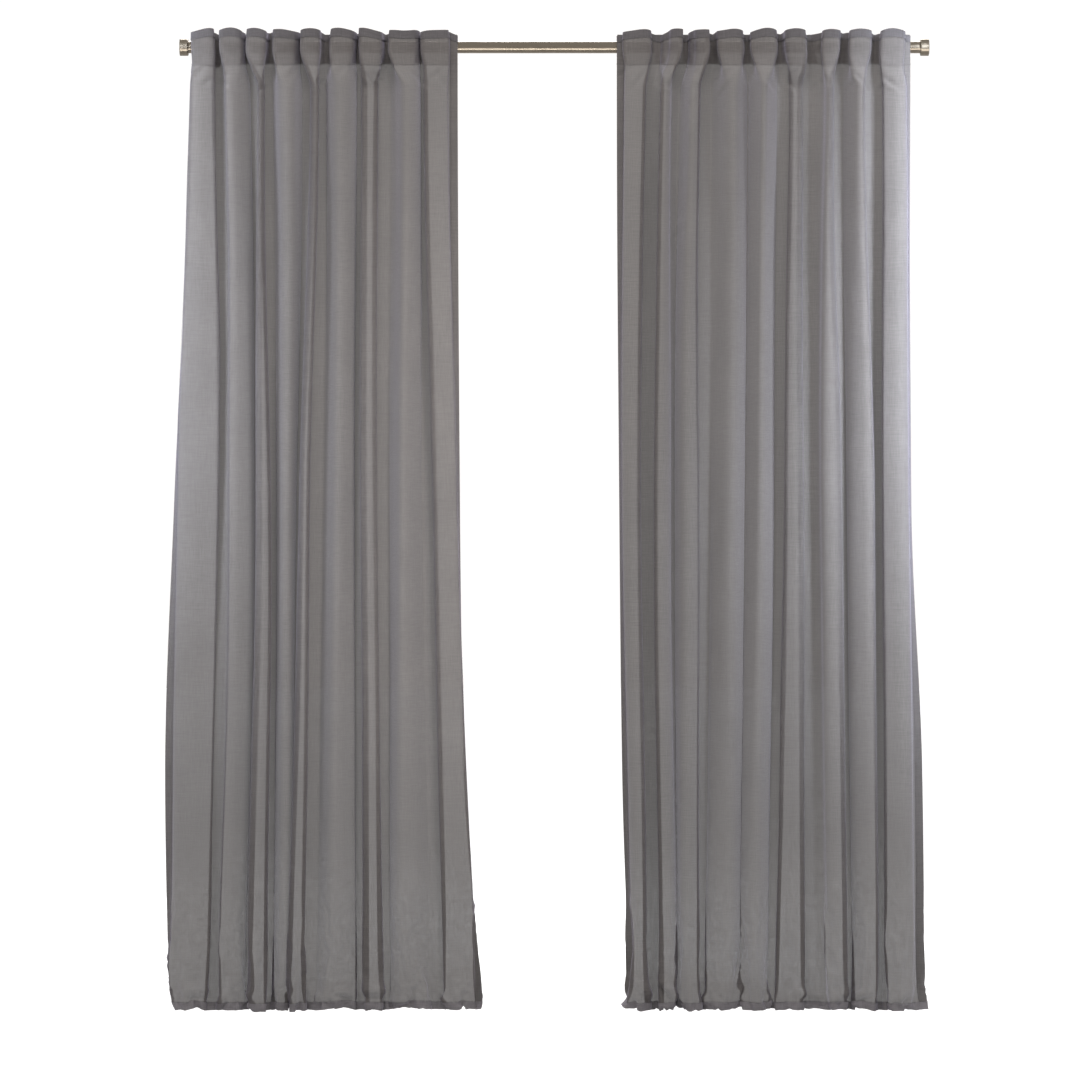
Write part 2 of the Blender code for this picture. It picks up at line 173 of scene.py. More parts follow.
RIGHT_FOLDS = (
    Fold(
        (0.728, 0.731, 0.734, 0.746), (0.052, 0.050, 0.056, 0.062),
        (0.003, 0.004), (-0.006, 0.008), (0.002, 0.004), 1.10,
    ),
    Fold(
        (0.658, 0.656, 0.671, 0.679), (0.047, 0.026, 0.046, 0.044),
        (0.001, 0.004), (0.004, -0.012), (-0.002, 0.005), 0.92,
    ),
    Fold(
        (0.595, 0.594, 0.600, 0.615), (0.038, 0.017, 0.044, 0.043),
        (0.003, 0.003), (0.010, -0.006), (0.003, -0.002), 1.04,
    ),
    Fold(
        (0.521, 0.521, 0.518, 0.508), (0.043, 0.033, 0.045, 0.070),
        (0.006, -0.002), (0.013, 0.012), (0.005, 0.003), 1.22,
    ),
    Fold(
        (0.452, 0.451, 0.445, 0.432), (0.056, 0.021, 0.026, 0.034),
        (0.002, 0.003), (-0.014, -0.016), (-0.002, 0.000), 0.76,
    ),
    Fold(
        (0.380, 0.381, 0.376, 0.367), (0.055, 0.031, 0.034, 0.048),
        (0.002, 0.003), (-0.016, -0.014), (-0.003, 0.004), 0.82,
    ),
    Fold(
        (0.318, 0.303, 0.294, 0.291), (0.031, 0.025, 0.040, 0.039),
        (0.006, -0.010), (0.004, -0.012), (0.010, -0.004), 0.98,
    ),
    Fold(
        (0.261, 0.239, 0.231, 0.243), (0.028, 0.023, 0.035, 0.035),
        (0.006, -0.012), (-0.004, 0.010), (0.012, -0.003), 1.04,
    ),
    Fold(
        (0.179, 0.175, 0.168, 0.184), (0.060, 0.048, 0.041, 0.034),
        (0.001, 0.002), (0.008, 0.000), (-0.005, 0.001), 1.12,
    ),
)
RIGHT_EDGES = {"outer": (0.7743, 0.7980, 0.8040), "lead": (0.1408, 0.1470, 0.1646)}

# ---- small helpers ----


def smooth(t):
    """Zero to one with level ends."""
    t = np.clip(t, 0.0, 1.0)
    return t * t * (3 - 2 * t)


def node(tree, kind, **settings):
    """A shader or geometry node with some of its settings and inputs given."""
    made = tree.nodes.new(kind)
    for key, value in settings.items():
        if hasattr(made, key):
            setattr(made, key, value)
        else:
            made.inputs[key.replace("_", " ")].default_value = value
    return made


def middle_x(name):
    """X of the middle of a CAD node."""
    low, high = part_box(name)
    return (low.x + high.x) / 2


def mesh_object(name, points, faces, material, uv=None):
    """A mesh piece at the origin, shaded smooth, with UVs in metres when given per point."""
    mesh = bpy.data.meshes.new(name)
    mesh.from_pydata([tuple(p) for p in points], [], faces)
    mesh.materials.append(material)
    if uv is not None:
        layer = mesh.uv_layers.new(name="UVMap")
        corners = np.zeros(len(mesh.loops), np.int32)
        mesh.loops.foreach_get("vertex_index", corners)
        layer.data.foreach_set("uv", np.asarray(uv, np.float32)[corners].ravel())
    mesh.shade_smooth()
    mesh.update()
    item = bpy.data.objects.new(name, mesh)
    bpy.context.scene.collection.objects.link(item)
    return item


def grid_faces(rows, columns, flip=False):
    """Quads of a grid whose points run row by row."""
    faces = []
    for r in range(rows - 1):
        for c in range(columns - 1):
            a = r * columns + c
            quad = (a, a + columns, a + columns + 1, a + 1)
            faces.append(quad[::-1] if flip else quad)
    return faces


def sheet_object(name, grid, uv, material, flip=False):
    """A piece from a (rows, columns, 3) array of points."""
    rows, columns = grid.shape[:2]
    faces = grid_faces(rows, columns, flip)
    return mesh_object(name, grid.reshape(-1, 3), faces, material, uv.reshape(-1, 2))


# ---- materials ----


def slub_weave_group():
    """Plain weave with uneven yarns: thicker slubs both ways, fine threads, and slow cloudiness.
    It reads a UV in metres."""
    group = bpy.data.node_groups.new("slub_weave", "ShaderNodeTree")
    face = group.interface
    face.new_socket("Vector", in_out="INPUT", socket_type="NodeSocketVector")
    for name, value in (("Threads per metre", 900.0), ("Slub length", 0.05), ("Slub width", 0.0016)):
        face.new_socket(name, in_out="INPUT", socket_type="NodeSocketFloat").default_value = value
    for name in ("Yarn", "Height", "Cloud"):
        face.new_socket(name, in_out="OUTPUT", socket_type="NodeSocketFloat")
    inside = group.nodes.new("NodeGroupInput")
    outside = group.nodes.new("NodeGroupOutput")
    link = group.links.new

    def math_node(operation, a, b):
        made = node(group, "ShaderNodeMath", operation=operation)
        for i, value in enumerate((a, b)):
            if isinstance(value, (int, float)):
                made.inputs[i].default_value = value
            elif value is not None:
                link(value, made.inputs[i])
        return made.outputs[0]

    split = node(group, "ShaderNodeSeparateXYZ")
    link(inside.outputs["Vector"], split.inputs[0])
    across, down = split.outputs[0], split.outputs[1]
    per_width = math_node("DIVIDE", 1.0, inside.outputs["Slub width"])
    per_length = math_node("DIVIDE", 1.0, inside.outputs["Slub length"])
    slubs = []
    for fine, coarse, shift in ((across, down, 3.7), (down, across, 41.3)):
        place = node(group, "ShaderNodeCombineXYZ")
        link(math_node("MULTIPLY", fine, per_width), place.inputs[0])
        link(math_node("MULTIPLY", coarse, per_length), place.inputs[1])
        place.inputs[2].default_value = shift
        noise = node(group, "ShaderNodeTexNoise", Scale=1.0, Detail=2.0, Roughness=0.6)
        link(place.outputs[0], noise.inputs["Vector"])
        slubs.append(noise.outputs[0])
    threads = []
    for line in (across, down):
        passed = math_node("MULTIPLY", line, inside.outputs["Threads per metre"])
        threads.append(math_node("SINE", math_node("MULTIPLY", passed, math.tau), None))
    thread = math_node("MULTIPLY", threads[0], threads[1])
    both = math_node("ADD", slubs[0], slubs[1])
    yarn = math_node("ADD", math_node("MULTIPLY", both, 0.5), math_node("MULTIPLY", thread, 0.03))
    cloud = node(group, "ShaderNodeTexNoise", Scale=9.0, Detail=2.0, Roughness=0.5)
    link(inside.outputs["Vector"], cloud.inputs["Vector"])
    link(yarn, outside.inputs["Yarn"])
    link(math_node("ADD", both, math_node("MULTIPLY", thread, 0.35)), outside.inputs["Height"])
    link(cloud.outputs[0], outside.inputs["Cloud"])
    return group


def voile(name, weave, thin, thick, cover, bump=0.25):
    """Semi-sheer cloth: thin and thick are the colours of open and dense yarn, and cover is how much
    of what lies behind the cloth hides."""
    material = bpy.data.materials.new(name)
    material.use_nodes = True
    tree = material.node_tree
    link = tree.links.new
    shader = tree.nodes["Principled BSDF"]
    shader.inputs["Roughness"].default_value = 0.92
    shader.inputs["Specular IOR Level"].default_value = 0.18
    shader.inputs["Sheen Weight"].default_value = 0.34
    shader.inputs["Sheen Roughness"].default_value = 0.5
    shader.inputs["Sheen Tint"].default_value = (0.84, 0.78, 1.0, 1)
    uv = node(tree, "ShaderNodeTexCoord")
    pattern = node(tree, "ShaderNodeGroup", node_tree=weave)
    pattern.inputs["Threads per metre"].default_value = 900.0
    pattern.inputs["Slub length"].default_value = 0.030
    pattern.inputs["Slub width"].default_value = 0.0013
    link(uv.outputs["UV"], pattern.inputs["Vector"])
    ramp = node(tree, "ShaderNodeValToRGB")
    ramp.color_ramp.elements[0].position = 0.34
    ramp.color_ramp.elements[0].color = (*thin, 1)
    ramp.color_ramp.elements[1].position = 0.66
    ramp.color_ramp.elements[1].color = (*thick, 1)
    link(pattern.outputs["Yarn"], ramp.inputs[0])
    cloud = node(tree, "ShaderNodeMapRange")
    cloud.inputs["From Min"].default_value = 0.3
    cloud.inputs["From Max"].default_value = 0.7
    cloud.inputs["To Min"].default_value = 0.95
    cloud.inputs["To Max"].default_value = 1.05
    link(pattern.outputs["Cloud"], cloud.inputs["Value"])
    tint = node(tree, "ShaderNodeVectorMath", operation="MULTIPLY")
    link(ramp.outputs[0], tint.inputs[0])
    link(cloud.outputs[0], tint.inputs[1])
    link(tint.outputs[0], shader.inputs["Base Color"])
    opening = node(tree, "ShaderNodeMapRange")
    opening.inputs["From Min"].default_value = 0.35
    opening.inputs["From Max"].default_value = 0.65
    opening.inputs["To Min"].default_value = cover - 0.03
    opening.inputs["To Max"].default_value = min(cover + 0.03, 1.0)
    link(pattern.outputs["Yarn"], opening.inputs["Value"])
    link(opening.outputs[0], shader.inputs["Alpha"])
    relief = node(tree, "ShaderNodeBump", Strength=bump, Distance=0.0005)
    link(pattern.outputs["Height"], relief.inputs["Height"])
    link(relief.outputs[0], shader.inputs["Normal"])
    return material


def spun_thread(name, color):
    """Matt sewing thread with a faint twist."""
    material = bpy.data.materials.new(name)
    material.use_nodes = True
    tree = material.node_tree
    shader = tree.nodes["Principled BSDF"]
    shader.inputs["Roughness"].default_value = 0.8
    coords = node(tree, "ShaderNodeTexCoord")
    twist = node(tree, "ShaderNodeTexNoise", Scale=1800.0, Detail=1.0)
    tree.links.new(coords.outputs["Object"], twist.inputs["Vector"])
    ramp = node(tree, "ShaderNodeValToRGB")
    ramp.color_ramp.elements[0].color = (*[0.8 * c for c in color], 1)
    ramp.color_ramp.elements[1].color = (*[1.2 * c for c in color], 1)
    tree.links.new(twist.outputs[0], ramp.inputs[0])
    tree.links.new(ramp.outputs[0], shader.inputs["Base Color"])
    return material


def brushed_metal_group():
    """Fine drawn lines along X, with faint smudges."""
    group = bpy.data.node_groups.new("drawn_metal", "ShaderNodeTree")
    face = group.interface
    face.new_socket("Lines per metre", in_out="INPUT", socket_type="NodeSocketFloat").default_value = 2500.0
    face.new_socket("Stretch", in_out="INPUT", socket_type="NodeSocketFloat").default_value = 0.02
    face.new_socket("Lines", in_out="OUTPUT", socket_type="NodeSocketFloat")
    face.new_socket("Smudge", in_out="OUTPUT", socket_type="NodeSocketFloat")
    inside = group.nodes.new("NodeGroupInput")
    outside = group.nodes.new("NodeGroupOutput")
    link = group.links.new
    coords = node(group, "ShaderNodeTexCoord")
    stretch = node(group, "ShaderNodeCombineXYZ", Y=1.0, Z=1.0)
    link(inside.outputs["Stretch"], stretch.inputs[0])
    drawn = node(group, "ShaderNodeVectorMath", operation="MULTIPLY")
    link(coords.outputs["Object"], drawn.inputs[0])
    link(stretch.outputs[0], drawn.inputs[1])
    lines = node(group, "ShaderNodeTexNoise", Detail=3.0, Roughness=0.6)
    link(drawn.outputs[0], lines.inputs["Vector"])
    link(inside.outputs["Lines per metre"], lines.inputs["Scale"])
    smudge = node(group, "ShaderNodeTexNoise", Scale=22.0, Detail=3.0)
    link(coords.outputs["Object"], smudge.inputs["Vector"])
    link(lines.outputs[0], outside.inputs["Lines"])
    link(smudge.outputs[0], outside.inputs["Smudge"])
    return group


def satin_metal(name, group, dark, light, roughness, stretch=0.02):
    """Plated metal with drawn lines and a little wear."""
    material = bpy.data.materials.new(name)
    material.use_nodes = True
    tree = material.node_tree
    link = tree.links.new
    shader = tree.nodes["Principled BSDF"]
    shader.inputs["Metallic"].default_value = 1.0
    finish = node(tree, "ShaderNodeGroup", node_tree=group)
    finish.inputs["Lines per metre"].default_value = 2500.0
    finish.inputs["Stretch"].default_value = stretch
    ramp = node(tree, "ShaderNodeValToRGB")
    ramp.color_ramp.elements[0].position = 0.25
    ramp.color_ramp.elements[0].color = (*dark, 1)
    ramp.color_ramp.elements[1].position = 0.75
    ramp.color_ramp.elements[1].color = (*light, 1)
    link(finish.outputs["Lines"], ramp.inputs[0])
    link(ramp.outputs[0], shader.inputs["Base Color"])
    rough = node(tree, "ShaderNodeMapRange")
    rough.inputs["From Min"].default_value = 0.3
    rough.inputs["From Max"].default_value = 0.7
    rough.inputs["To Min"].default_value = roughness - 0.05
    rough.inputs["To Max"].default_value = roughness + 0.07
    link(finish.outputs["Smudge"], rough.inputs["Value"])
    link(rough.outputs[0], shader.inputs["Roughness"])
    relief = node(tree, "ShaderNodeBump", Strength=0.012, Distance=0.0001)
    link(finish.outputs["Lines"], relief.inputs["Height"])
    link(relief.outputs[0], shader.inputs["Normal"])
    return material


# ---- laying out the folds ----


def spline(points, steps):
    """Points along a smooth curve through the given ones, with the same number of steps in each span."""
    first = 2 * points[0] - points[1]
    last = 2 * points[-1] - points[-2]
    p = np.vstack([first, points, last])
    t = np.linspace(0, 1, steps, endpoint=False)[:, None]
    out = []
    for i in range(len(points) - 1):
        a, b, c, d = p[i : i + 4]
        square, cube = 2 * a - 5 * b + 4 * c - d, 3 * b - a - 3 * c + d
        out.append(0.5 * (2 * b + (c - a) * t + square * t**2 + cube * t**3))
    out.append(points[-1][None])
    return np.vstack(out)


def length_of(path):
    """Length of a polyline."""
    return float(np.linalg.norm(np.diff(path, axis=0), axis=1).sum())


def resampled(path, count):
    """count points evenly spaced along a polyline, both ends included."""
    steps = np.linalg.norm(np.diff(path, axis=0), axis=1)
    along = np.concatenate([[0], np.cumsum(steps)])
    wanted = np.linspace(0, along[-1], count)
    return np.stack([np.interp(wanted, along, path[:, k]) for k in range(path.shape[1])], axis=1)


def through(place, places, values):
    """The height at a place of a smooth curve through the values given at some places, which
    doesn't overshoot them."""
    steps = np.diff(places)
    rises = np.diff(values) / steps
    slopes = np.zeros(len(places))
    for i in range(1, len(rises)):
        if rises[i - 1] * rises[i] > 0:
            slopes[i] = 2 / (1 / rises[i - 1] + 1 / rises[i])
    slopes[-1] = rises[-1]
    i = int(np.clip(np.searchsorted(places, place) - 1, 0, len(rises) - 1))
    t = float(np.clip((place - places[i]) / steps[i], 0, 1))
    ease = t * t * (3 - 2 * t)
    bend = steps[i] * t * (1 - t) * (slopes[i] * (1 - t) - slopes[i + 1] * t)
    return values[i] + (values[i + 1] - values[i]) * ease + bend


def fold_path(start, end, ridge, width, turns, slant, deep, back, start_back, end_back, square):
    """One fold from valley to valley as (x, forward) points: foot, shoulder, crest, shoulder, foot.
    Forward is the distance in front of the tabs; square widens the crest as in the heading."""
    half = width / 2
    low, high = 0.28 * deep - back, 0.80 * deep - back
    crest = deep * 1.02 - back
    round_off = 0.35 + 0.3 * square
    points = np.array(
        [
            (start, -start_back),
            (max(ridge - half + turns[0], start), low),
            (ridge - half, high + slant),
            (ridge - half * round_off, crest + slant * 0.6),
            (ridge + half * round_off, crest - slant * 0.6),
            (ridge + half, high - slant),
            (min(ridge + half - turns[1], end), low),
            (end, -end_back),
        ]
    )
    return spline(points, 6)


def fold_with_length(wanted, limit, **shape):
    """The fold whose depth makes it as long as its share of cloth."""
    low, high = 0.004, limit
    for _ in range(11):
        deep = (low + high) / 2
        path = fold_path(deep=deep, **shape)
        if length_of(path) < wanted:
            low = deep
        else:
            high = deep
    return path


class Layout:
    """Where one curtain's folds run. Distances are from the rod's middle, outward positive."""

    def __init__(self, name, side, folds, edges, seed):
        self.name, self.side, self.folds, self.edges = name, side, folds, edges
        self.tabs = [abs(middle_x(f"{name}_tab_{k}")) for k in range(TAB_COUNT)]
        random = np.random.default_rng(seed)
        self.sway = random.uniform(-1, 1, (TAB_COUNT, 4))
        self.levels = (HEADING * 0.55, PINCH_DEPTH, MID_DEPTH, TOP_Z - FLOOR_Z)

    def wander(self, k, depth, reach):
        """A slow, uneven drift that grows below the heading."""
        one, two, three, _ = self.sway[k]
        wave = math.sin(depth * (2.3 + one) + 3 * two) + 0.6 * math.sin(depth * (5.1 + two) + 5 * three)
        return reach * wave * float(smooth((depth - HEADING) / 0.4))

    def ridge(self, k, depth):
        """A ridge's middle and width."""
        fold = self.folds[k]
        in_heading = 1 - float(smooth((depth - HEADING) / 0.05))
        lean = 0.004 * self.sway[k][0] * (depth / HEADING - 0.5) * in_heading
        x = through(depth, self.levels, fold.places) + self.wander(k, depth, RIDGE_WANDER) + lean
        width = through(depth, self.levels, fold.widths)
        bulge = 1 + 0.07 * math.sin(math.pi * min(depth / HEADING, 1)) * in_heading
        return x, max(width * bulge, 0.012)

    def valley(self, k, depth):
        """Where the cloth between two ridges runs."""
        outer, lead = self.ridge(k - 1, depth), self.ridge(k, depth)
        between = (outer[0] - outer[1] / 2 + lead[0] + lead[1] / 2) / 2
        held = 1 - float(smooth((depth - HEADING * 0.8) / 0.08))
        return between + (self.tabs[k] - between) * held * 0.8

    def edge(self, which, depth):
        """The free side edges."""
        top = self.tabs[0] + 0.011 if which == "outer" else self.tabs[-1] - 0.011
        places = (HEADING, MID_DEPTH, LOW_DEPTH, TOP_Z - FLOOR_Z)
        return through(depth, places, (top, *self.edges[which]))

    def row(self, depth):
        """(x, forward, square of the distance from the ridge's middle) across the curtain at one
        depth, from the outer edge to the leading one."""
        heading = 1 - float(smooth((depth - HEADING * 0.8) / 0.07))
        hang = float(smooth((depth - HEADING) / 0.5))
        share = (FLAT_WIDTH - EDGE_SPARE) / FOLDS
        backs = [
            hang * (HANG_BACK + 0.006 * self.sway[k][3]) + self.wander(k, depth, SWING_WANDER)
            for k in range(TAB_COUNT)
        ]
        parts = []
        for k, fold in enumerate(self.folds):
            x, width = self.ridge(k, depth)
            turns = [low + (top - low) * heading for top, low in zip(fold.top_turns, fold.turns)]
            cloth = share * (1 + (fold.cloth - 1) * float(smooth((depth - HEADING) / 0.4)))
            start = self.valley(k, depth) if k else self.edge("outer", depth)
            end = self.valley(k + 1, depth) if k < FOLDS - 1 else self.edge("lead", depth)
            shape = {
                "start": -start,
                "end": -end,
                "ridge": -x,
                "width": width,
                "turns": turns,
                "slant": fold.slants[1] + (fold.slants[0] - fold.slants[1]) * heading,
                "back": (backs[k] + backs[k + 1]) / 2,
                "start_back": backs[k],
                "end_back": backs[k + 1],
                "square": heading,
            }
            path = fold_with_length(cloth, DEEPEST_FOLD, **shape)
            count = COLUMNS_PER_FOLD + 1
            flat = resampled(path, count)[: count if k == FOLDS - 1 else count - 1]
            off_middle = np.clip((flat[:, 0] + x) / (width / 2) + 1.5 * self.sway[k][3] * 0.3, -1.5, 1.5)
            parts.append(np.column_stack([flat, off_middle**2]))
        return np.vstack(parts)


def laid_out(layout):
    """The whole sheet as a (rows, columns, 3) grid before it is hung."""
    drop = TOP_EDGE_Z - FLOOR_Z - HEM_CLEARANCE
    share = np.linspace(0, 1, ROWS)
    depths = drop * (0.55 * share + 0.45 * (0.5 - 0.5 * np.cos(math.pi * share)))
    rows = []
    for depth in depths:
        flat = layout.row(depth)
        points = np.zeros((len(flat), 3))
        points[:, 0] = -layout.side * flat[:, 0]
        points[:, 1] = CLOTH_Y - flat[:, 1]
        # between the folds the tabs draw the top edge down and the seam up
        recess = 1 - np.clip(flat[:, 1] / 0.045, 0, 1)
        drawn = -0.004 + 0.011 * smooth(depth / HEADING)
        arch = -0.0022 * flat[:, 2] * (1 - smooth(depth / 0.045))
        points[:, 2] = TOP_EDGE_Z - depth + arch + recess * drawn * (1 - smooth((depth - 0.1) / 0.6))
        rows.append(points)
    return np.array(rows), depths


def refined(grid):
    """Twice as many points each way, on a smooth curve through the given ones."""
    for axis in (0, 1):
        g = np.moveaxis(grid, axis, 0)
        padded = np.concatenate([2 * g[:1] - g[1:2], g, 2 * g[-1:] - g[-2:-1]])
        between = (9 * (padded[1:-2] + padded[2:-1]) - padded[:-3] - padded[3:]) / 16
        out = np.empty((2 * len(g) - 1, *g.shape[1:]))
        out[0::2] = g
        out[1::2] = between
        grid = np.moveaxis(out, 0, axis)
    return grid


def settled_hem(layout, grid, depths):
    """Lets the lowest part of the sheet go, with some length to spare, and drops it on the floor."""
    first = int(np.searchsorted(depths, depths[-1] - LOOSE_LENGTH))
    part, below = grid[first:], depths[first:] - depths[first]
    rows, columns = part.shape[:2]
    share = smooth(below / below[-1])
    blank = bpy.data.materials.new("blank")
    cloth = sheet_object(layout.name + "_hanging", part, np.zeros((rows, columns, 2)), blank)
    cloth.shape_key_add(name="hung")
    rest = cloth.shape_key_add(name="rest")
    lower = part.copy()
    lower[:, :, 2] -= SPARE_LENGTH * share[:, None]
    rest.data.foreach_set("co", lower.ravel())
    rest.value = 0.0
    pins = cloth.vertex_groups.new(name="held")
    for r in range(rows):
        hold = float(1 - smooth((below[r] - 0.02) / 0.16))
        if hold > 0:
            pins.add(list(range(r * columns, (r + 1) * columns)), hold, "REPLACE")
    z = FLOOR_Z - LANDING_DEPTH
    corners = [(-2, -1, z), (2, -1, z), (2, 1, z), (-2, 1, z)]
    floor = mesh_object(layout.name + "_landing", corners, [(0, 1, 2, 3)], blank)
    floor.modifiers.new("hit", "COLLISION")
    floor.collision.thickness_outer = CLOTH_THICKNESS
    floor.collision.cloth_friction = 12.0
    modifier = cloth.modifiers.new("cloth", "CLOTH")
    settings = modifier.settings
    settings.quality = 8
    settings.mass = 0.0003
    settings.tension_stiffness = settings.compression_stiffness = 10
    settings.shear_stiffness = 5
    settings.bending_stiffness = 0.12
    settings.air_damping = 1.5
    settings.tension_damping = settings.compression_damping = 8
    settings.vertex_group_mass = "held"
    settings.pin_stiffness = 1.0
    settings.rest_shape_key = rest
    modifier.collision_settings.use_self_collision = False
    modifier.collision_settings.distance_min = CLOTH_THICKNESS
    modifier.point_cache.frame_start, modifier.point_cache.frame_end = 1, SIMULATION_FRAMES
    scene = bpy.context.scene
    scene.frame_start, scene.frame_end = 1, SIMULATION_FRAMES
    for step in range(1, SIMULATION_FRAMES + 1):
        scene.frame_set(step)
    graph = bpy.context.evaluated_depsgraph_get()
    settled = cloth.evaluated_get(graph).to_mesh()
    points = np.zeros(len(settled.vertices) * 3)
    settled.vertices.foreach_get("co", points)
    cloth.evaluated_get(graph).to_mesh_clear()
    scene.frame_set(1)
    for item in (cloth, floor):
        bpy.data.objects.remove(item, do_unlink=True)
    whole = grid.copy()
    whole[first:] = points.reshape(rows, columns, 3)
    return whole


def creased(layout, grid, down):
    """Presses small slanting creases in where the folds are drawn in below the heading."""
    random = np.random.default_rng(int(1000 * layout.tabs[0]))
    out = grid.copy()
    for k, fold in enumerate(layout.folds):
        for _ in range(CREASES_PER_FOLD):
            side = random.choice((-1, 1))
            x = layout.side * (fold.places[1] + random.uniform(-0.4, 0.4) * fold.widths[0])
            z = TOP_EDGE_Z - HEADING - random.uniform(0.008, 0.055)
            lean = random.uniform(0.5, 1.2) * side
            along = np.array([math.sin(lean), -math.cos(lean)])
            reach = random.uniform(0.012, 0.026)
            offset = np.stack([grid[:, :, 0] - x, grid[:, :, 2] - z], axis=2)
            forward = offset @ along
            across = offset @ np.array([along[1], -along[0]])
            fading = np.exp(-((forward / reach) ** 2))
            dent = np.exp(-((across / CREASE_WIDTH) ** 2)) * fading
            bank = np.exp(-(((across - BANK_AWAY) / BANK_WIDTH) ** 2)) * fading
            below_seam = smooth((down[:, None] - HEADING) / 0.01)
            out[:, :, 1] += below_seam * (CREASE_DEPTH * dent - BANK_HEIGHT * bank)
    return out


def normals_of(grid):
    """Unit normals of a grid, pointing into the room at the front."""
    down = np.gradient(grid, axis=0)
    across = np.gradient(grid, axis=1)
    normal = np.cross(across, down)
    normal = normal / np.maximum(np.linalg.norm(normal, axis=2, keepdims=True), 1e-9)
    return -normal if normal[len(grid) // 2, :, 1].mean() > 0 else normal


def puckered(layout, grid, down):
    """Pushes soft puckers into the cloth just above the hem, lifts the hem's edge under them, and
    lets the heading's top edge rise and fall a little."""
    random = np.random.default_rng(int(1000 * layout.tabs[1]))
    across = np.linspace(0, FLAT_WIDTH, grid.shape[1])[None, :]
    above = (down[-1] - down)[:, None]
    normal = normals_of(grid)
    out = grid.copy()
    for place in np.linspace(PUCKER_MARGIN, FLAT_WIDTH - PUCKER_MARGIN, PUCKERS):
        place += random.uniform(-0.03, 0.03)
        lean = random.uniform(-0.9, 0.9)
        reach, half = random.uniform(0.020, 0.040), random.uniform(0.009, 0.015)
        depth, lift = random.uniform(0.004, 0.010), random.uniform(-0.001, 0.005)
        beside, over = across - place, above - random.uniform(0.018, 0.050)
        forward = beside * math.cos(lean) + over * math.sin(lean)
        aside = over * math.cos(lean) - beside * math.sin(lean)
        billow = depth * np.exp(-((aside / half) ** 2) - (forward / reach) ** 2)
        below = (aside + 1.3 * half) / (0.5 * half)
        tuck = 0.7 * depth * np.exp(-(below**2) - (forward / (0.8 * reach)) ** 2)
        out += normal * (billow - tuck)[:, :, None]
        out[:, :, 2] += lift * np.exp(-((beside / reach) ** 2)) * (1 - smooth(above / 0.06))
    for height, length in TOP_WAVES:
        wave = height * np.sin(across * math.tau / length + random.uniform(0, math.tau))
        out[:, :, 2] += wave * (1 - smooth(down / HEADING))[:, None]
    return out


def settled_sheet(layout):
    """The finished sheet's points, UVs in metres, and outward normals."""
    grid, depths = laid_out(layout)
    grid = settled_hem(layout, grid, depths)
    fine = refined(grid)
    rows, columns = fine.shape[:2]
    uv = np.zeros((rows, columns, 2))
    uv[:, :, 0] = np.linspace(0, FLAT_WIDTH, columns)[None, :]
    down = np.interp(np.linspace(0, len(depths) - 1, rows), np.arange(len(depths)), depths)
    uv[:, :, 1] = -down[:, None]
    fine = puckered(layout, creased(layout, fine, down), down)
    return fine, uv, normals_of(fine), down


def stitch_tree():
    """Geometry Nodes that lay a short thread at even steps along every line of a mesh of edges."""
    tree = bpy.data.node_groups.new("run_of_stitches", "GeometryNodeTree")
    face = tree.interface
    face.new_socket("Geometry", in_out="INPUT", socket_type="NodeSocketGeometry")
    inputs = {}
    for name in ("Pitch", "Stitch length", "Thread radius"):
        socket = face.new_socket(name, in_out="INPUT", socket_type="NodeSocketFloat")
        inputs[name] = socket.identifier
    thread = face.new_socket("Thread", in_out="INPUT", socket_type="NodeSocketMaterial")
    inputs["Thread"] = thread.identifier
    face.new_socket("Geometry", in_out="OUTPUT", socket_type="NodeSocketGeometry")
    inside, outside = tree.nodes.new("NodeGroupInput"), tree.nodes.new("NodeGroupOutput")
    link = tree.links.new
    curve = tree.nodes.new("GeometryNodeMeshToCurve")
    link(inside.outputs["Geometry"], curve.inputs[0])
    evenly = tree.nodes.new("GeometryNodeCurveToPoints")
    evenly.mode = "LENGTH"
    link(curve.outputs[0], evenly.inputs["Curve"])
    link(inside.outputs["Pitch"], evenly.inputs["Length"])
    stitch = tree.nodes.new("GeometryNodeMeshCylinder")
    stitch.inputs["Vertices"].default_value = 5
    link(inside.outputs["Thread radius"], stitch.inputs["Radius"])
    link(inside.outputs["Stitch length"], stitch.inputs["Depth"])
    laid = tree.nodes.new("GeometryNodeInstanceOnPoints")
    link(evenly.outputs["Points"], laid.inputs["Points"])
    link(stitch.outputs["Mesh"], laid.inputs["Instance"])
    link(evenly.outputs["Rotation"], laid.inputs["Rotation"])
    real = tree.nodes.new("GeometryNodeRealizeInstances")
    link(laid.outputs[0], real.inputs[0])
    dressed = tree.nodes.new("GeometryNodeSetMaterial")
    link(real.outputs[0], dressed.inputs["Geometry"])
    link(inside.outputs["Thread"], dressed.inputs["Material"])
    link(dressed.outputs[0], outside.inputs[0])
    return tree, inputs


def make_stitches(name, lines, tree, inputs, thread):
    """One mesh of all the stitches that run along some lines of points."""
    points, edges = [], []
    for line in lines:
        first = len(points)
        points.extend(tuple(p) for p in line)
        edges.extend((i, i + 1) for i in range(first, len(points) - 1))
    guide_mesh = bpy.data.meshes.new(name + "_guide")
    guide_mesh.from_pydata(points, edges, [])
    guide = bpy.data.objects.new(name + "_guide", guide_mesh)
    bpy.context.scene.collection.objects.link(guide)
    layer = guide.modifiers.new("stitches", "NODES")
    layer.node_group = tree
    layer[inputs["Pitch"]] = STITCH_PITCH
    layer[inputs["Stitch length"]] = STITCH_LENGTH
    layer[inputs["Thread radius"]] = THREAD_RADIUS
    layer[inputs["Thread"]] = thread
    graph = bpy.context.evaluated_depsgraph_get()
    mesh = bpy.data.meshes.new_from_object(guide.evaluated_get(graph))
    bpy.data.objects.remove(guide, do_unlink=True)
    mesh.shade_smooth()
    stitches = bpy.data.objects.new(name, mesh)
    bpy.context.scene.collection.objects.link(stitches)
    return stitches


